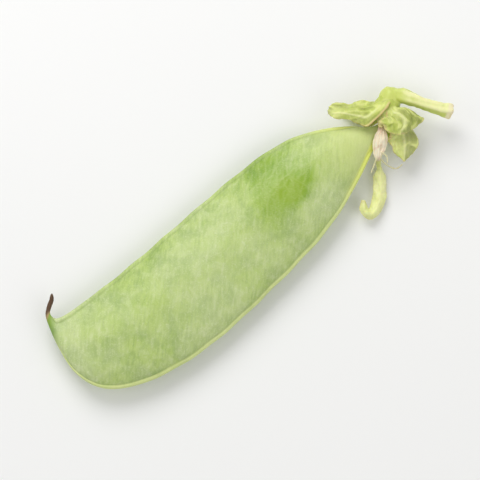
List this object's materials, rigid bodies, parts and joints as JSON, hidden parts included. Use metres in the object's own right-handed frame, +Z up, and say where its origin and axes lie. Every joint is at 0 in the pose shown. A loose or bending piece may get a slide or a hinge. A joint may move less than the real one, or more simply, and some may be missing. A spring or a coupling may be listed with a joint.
{
  "type": "snow pea pod",
  "caption": "Flat green pea pod as picked, lying on its broad side, with seams, pea swellings, beak, calyx with sepals, stalk and withered stamens.",
  "frame": {"origin": "on the surface that the pod lies on, under the middle of the whole part's box", "axes": "+X along the pod towards the stalk, -X towards the beak, +Y towards the ventral seam, +Z up through the pod's thickness"},
  "size_m": [0.0976, 0.0286, 0.0095],
  "materials": {
    "pod_skin": "satin",
    "calyx_leaf": "matte",
    "stalk_skin": "satin",
    "dry_petal": "matte"
  },
  "bodies": {
    "root": {"pod": "pod_skin", "calyx": "calyx_leaf", "stalk": "stalk_skin", "stamen_sheath": "dry_petal"}
  },
  "joints": []
}
